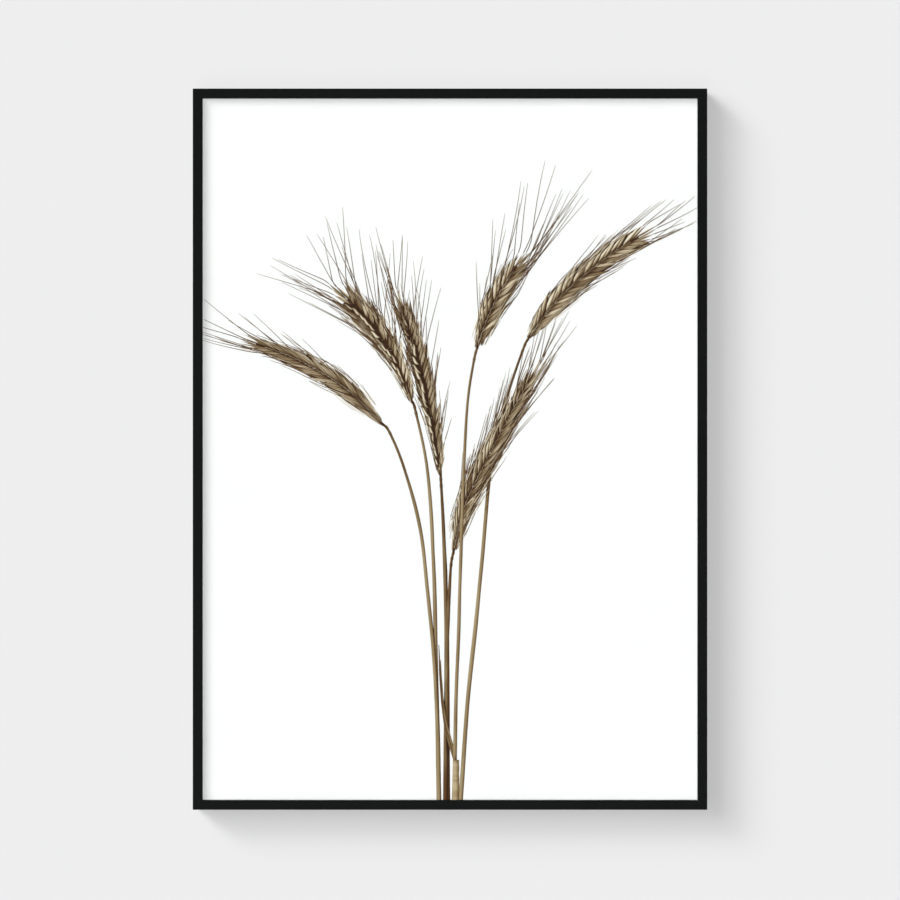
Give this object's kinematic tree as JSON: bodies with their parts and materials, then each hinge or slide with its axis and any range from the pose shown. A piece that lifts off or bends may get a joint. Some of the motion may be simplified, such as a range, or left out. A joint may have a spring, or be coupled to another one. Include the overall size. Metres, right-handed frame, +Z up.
{
  "type": "framed art print",
  "caption": "Slim matt black picture frame with mitred rails, picture glass, a printed sheet of awned wheat ears and a toothed wall hanger.",
  "frame": {"origin": "middle notch of the portrait hanger's toothed window, on the wall plane, where the nail is", "axes": "+Z up, the picture faces -Y, +Y points into the wall, +X to the right as seen from the front"},
  "size_m": [0.433, 0.022, 0.607],
  "materials": {
    "black_rail": "matt black anodised",
    "picture_glass": "clear, polished",
    "art_paper": "matt printed art paper",
    "backing_mdf": "raw hardboard",
    "die_cast": "die cast, as made",
    "zinc_steel": "bright zinc plated",
    "hanger_steel": "zinc plated sheet",
    "spring_steel": "rolled spring strip",
    "pad_rubber": "soft black rubber"
  },
  "bodies": {
    "root": {"rail_top": "black_rail", "rail_right": "black_rail", "rail_bottom": "black_rail", "rail_left": "black_rail", "glazing": "picture_glass", "print_sheet": "art_paper", "backing_board": "backing_mdf", "corner_key_top_right": "die_cast", "corner_key_bottom_right": "die_cast", "corner_key_bottom_left": "die_cast", "corner_key_top_left": "die_cast", "key_screw_top_1": "zinc_steel", "key_screw_top_2": "zinc_steel", "key_screw_right_1": "zinc_steel", "key_screw_right_2": "zinc_steel", "key_screw_bottom_1": "zinc_steel", "key_screw_bottom_2": "zinc_steel", "key_screw_left_1": "zinc_steel", "key_screw_left_2": "zinc_steel", "spring_clip_top_1": "spring_steel", "spring_clip_top_2": "spring_steel", "spring_clip_right_1": "spring_steel", "spring_clip_right_2": "spring_steel", "spring_clip_bottom_1": "spring_steel", "spring_clip_bottom_2": "spring_steel", "spring_clip_left_1": "spring_steel", "spring_clip_left_2": "spring_steel", "hanger_portrait": "hanger_steel", "hanger_landscape": "hanger_steel", "hanger_screw_portrait_1": "zinc_steel", "hanger_screw_portrait_2": "zinc_steel", "hanger_screw_landscape_1": "zinc_steel", "hanger_screw_landscape_2": "zinc_steel", "wall_pad_top_right": "pad_rubber", "wall_pad_bottom_right": "pad_rubber", "wall_pad_bottom_left": "pad_rubber", "wall_pad_top_left": "pad_rubber"}
  },
  "joints": []
}
